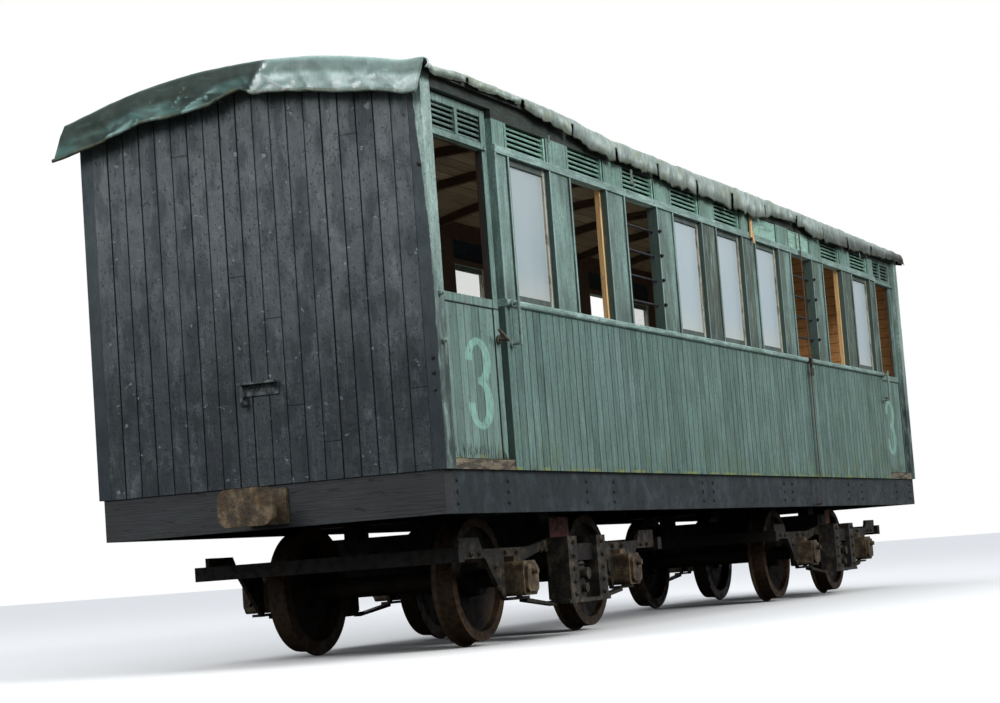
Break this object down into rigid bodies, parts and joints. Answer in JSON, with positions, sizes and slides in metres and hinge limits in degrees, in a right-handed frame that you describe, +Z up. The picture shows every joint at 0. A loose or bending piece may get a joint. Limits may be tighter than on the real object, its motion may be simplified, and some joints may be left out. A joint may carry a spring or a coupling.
{
  "type": "passenger coach",
  "caption": "Old narrow-gauge timber passenger coach on two bogies, with matchboard sides, louvred vents, swing doors, centre couplers and a cloth-covered arched roof.",
  "frame": {"origin": "midway along and across the coach, on the plane under the wheel flanges, where it stands", "axes": "+X along the coach towards the rear end, +Y across it, away from the near side, +Z up"},
  "size_m": [10.44, 2.272, 3.2243],
  "materials": {
    "green_timber": "weathered green paint on timber",
    "black_timber": "tarred boards",
    "inside_timber": "bare aged timber",
    "frame_timber": "dark painted timber beam",
    "painted_steel": "slate grey paint",
    "bare_steel": "rusty and grimy",
    "wheel_steel": "rusty tread",
    "cast_gear": "rusty casting",
    "glass": "dusty",
    "canvas": "weathered roof cloth"
  },
  "bodies": {
    "coach_body": {"solebars": "painted_steel", "headstocks": "frame_timber", "cross_members": "bare_steel", "floor": "inside_timber", "side_boarding": "green_timber", "side_rails": "green_timber", "pillars": "green_timber", "cantrails": "green_timber", "louvres": "green_timber", "sashes": "green_timber", "window_glass": "glass", "window_bars": "bare_steel", "jamb_strips": "inside_timber", "corner_posts": "green_timber", "door_hinges": "bare_steel", "door_sills": "inside_timber", "end_front": "black_timber", "end_rear": "black_timber", "roof_boards": "inside_timber", "roof_ribs": "inside_timber", "roof_canvas": "canvas", "grab_rails": "bare_steel", "couplers": "cast_gear", "end_shelf": "bare_steel", "tie_strap": "bare_steel"},
    "bogie_front": {"bogie_front_side_plates": "bare_steel", "bogie_front_baskets": "bare_steel", "bogie_front_cross_beams": "bare_steel", "bogie_front_axleboxes": "cast_gear", "bogie_front_springs": "bare_steel", "bogie_front_bolster": "bare_steel"},
    "wheelset_front_outer": {"wheelset_front_outer": "wheel_steel"},
    "wheelset_front_inner": {"wheelset_front_inner": "wheel_steel"},
    "bogie_rear": {"bogie_rear_side_plates": "bare_steel", "bogie_rear_baskets": "bare_steel", "bogie_rear_cross_beams": "bare_steel", "bogie_rear_axleboxes": "cast_gear", "bogie_rear_springs": "bare_steel", "bogie_rear_bolster": "bare_steel"},
    "wheelset_rear_outer": {"wheelset_rear_outer": "wheel_steel"},
    "wheelset_rear_inner": {"wheelset_rear_inner": "wheel_steel"},
    "door_near_front": {"door_near_front": "green_timber", "door_near_front_handle": "bare_steel"},
    "door_near_rear": {"door_near_rear": "green_timber", "door_near_rear_handle": "bare_steel"},
    "door_far_front": {"door_far_front": "green_timber", "door_far_front_handle": "bare_steel"},
    "door_far_rear": {"door_far_rear": "green_timber", "door_far_rear_handle": "bare_steel"}
  },
  "joints": [
    {"name": "bogie_front_pivot", "type": "hinge", "parent": "coach_body", "child": "bogie_front", "pos_m": [-2.85, 0, 0.72], "axis": [0, 0, 1], "range_deg": [-5, 5]},
    {"name": "wheelset_front_outer_spin", "type": "hinge", "parent": "bogie_front", "child": "wheelset_front_outer", "pos_m": [-3.675, 0, 0.3805], "axis": [0, 1, 0], "continuous": true},
    {"name": "wheelset_front_inner_spin", "type": "hinge", "parent": "bogie_front", "child": "wheelset_front_inner", "pos_m": [-2.025, 0, 0.3805], "axis": [0, 1, 0], "continuous": true},
    {"name": "bogie_rear_pivot", "type": "hinge", "parent": "coach_body", "child": "bogie_rear", "pos_m": [2.85, 0, 0.72], "axis": [0, 0, 1], "range_deg": [-5, 5]},
    {"name": "wheelset_rear_outer_spin", "type": "hinge", "parent": "bogie_rear", "child": "wheelset_rear_outer", "pos_m": [3.675, 0, 0.3805], "axis": [0, 1, 0], "continuous": true},
    {"name": "wheelset_rear_inner_spin", "type": "hinge", "parent": "bogie_rear", "child": "wheelset_rear_inner", "pos_m": [2.025, 0, 0.3805], "axis": [0, 1, 0], "continuous": true},
    {"name": "door_near_front_hinge", "type": "hinge", "parent": "coach_body", "child": "door_near_front", "pos_m": [-4.853, -0.977, 2], "axis": [0, 0, 1], "range_deg": [0, 85]},
    {"name": "door_near_rear_hinge", "type": "hinge", "parent": "coach_body", "child": "door_near_rear", "pos_m": [4.853, -0.977, 2], "axis": [0, 0, -1], "range_deg": [0, 85]},
    {"name": "door_far_front_hinge", "type": "hinge", "parent": "coach_body", "child": "door_far_front", "pos_m": [-4.853, 0.977, 2], "axis": [0, 0, -1], "range_deg": [0, 85]},
    {"name": "door_far_rear_hinge", "type": "hinge", "parent": "coach_body", "child": "door_far_rear", "pos_m": [4.853, 0.977, 2], "axis": [0, 0, 1], "range_deg": [0, 85]}
  ]
}
